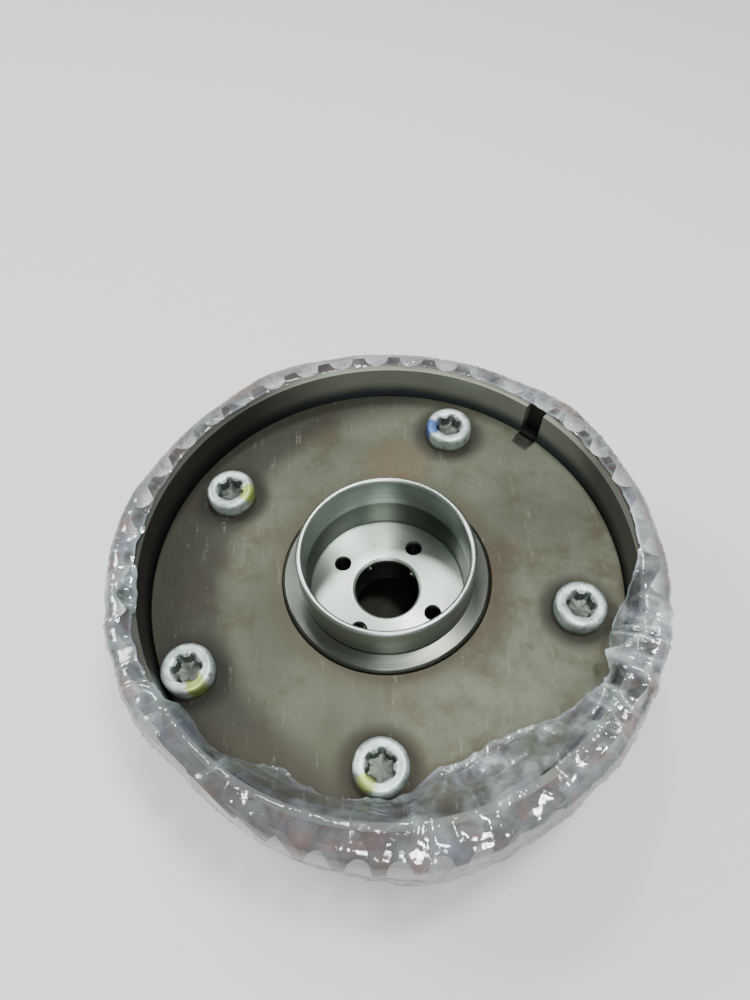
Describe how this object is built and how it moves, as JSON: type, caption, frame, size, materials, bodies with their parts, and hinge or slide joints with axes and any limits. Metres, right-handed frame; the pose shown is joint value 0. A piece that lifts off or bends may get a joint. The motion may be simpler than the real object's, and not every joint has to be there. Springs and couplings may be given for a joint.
{
  "type": "camshaft phaser pulley",
  "caption": "Flywheel-like belt-driven camshaft wheel with a vane phaser inside: toothed rim, bolted covers, polished journal sleeve and a turning rotor.",
  "frame": {"origin": "centre of the seat for the camshaft's nose, at the bottom of the socket in the journal sleeve", "axes": "+Z along the wheel's axis, out of the socket towards the camshaft; +X and +Y in the plane of the wheel"},
  "size_m": [0.1213, 0.1212, 0.0411],
  "materials": {
    "sintered_steel": "dark sintered steel",
    "stained_steel": "dull steel with oil and rust stains",
    "cover_steel": "turned steel",
    "bright_steel": "ground and polished",
    "machined_steel": "fine turned",
    "zinc_screw": "pale zinc",
    "hardened_steel": "ground",
    "spring_steel": "drawn wire",
    "seal_plastic": "filled plastic",
    "black_rubber": "moulded rubber",
    "clear_film": "clear crinkled film"
  },
  "bodies": {
    "housing": {"pulley_housing": "sintered_steel", "rear_cover": "stained_steel", "front_cover": "cover_steel", "rear_cover_oring": "black_rubber", "front_cover_oring": "black_rubber", "cover_screws": "zinc_screw", "cover_dowels": "hardened_steel", "lobe_seals": "seal_plastic", "lobe_seal_springs": "spring_steel", "lock_pin_seat": "hardened_steel", "centre_plug": "cover_steel", "plug_oring": "black_rubber", "film_wrap": "clear_film"},
    "rotor": {"rotor": "machined_steel", "journal_sleeve": "bright_steel", "vane_seals": "seal_plastic", "vane_seal_springs": "spring_steel", "lock_pin_sleeve": "hardened_steel", "lock_pin_cap": "hardened_steel", "lock_pin_spring": "spring_steel"},
    "lock_pin": {"lock_pin": "hardened_steel"}
  },
  "joints": [
    {"name": "rotor_turn", "type": "hinge", "parent": "housing", "child": "rotor", "pos_m": [0, 0, 0], "axis": [0, 0, 1], "range_deg": [0, 22]},
    {"name": "lock_pin_slide", "type": "slide", "parent": "rotor", "child": "lock_pin", "axis": [0, 0, 1], "range_m": [0, 0.0024], "stiffness_N_per_m": 400, "springref_m": -0.004, "deforming": ["lock_pin_spring"]}
  ]
}
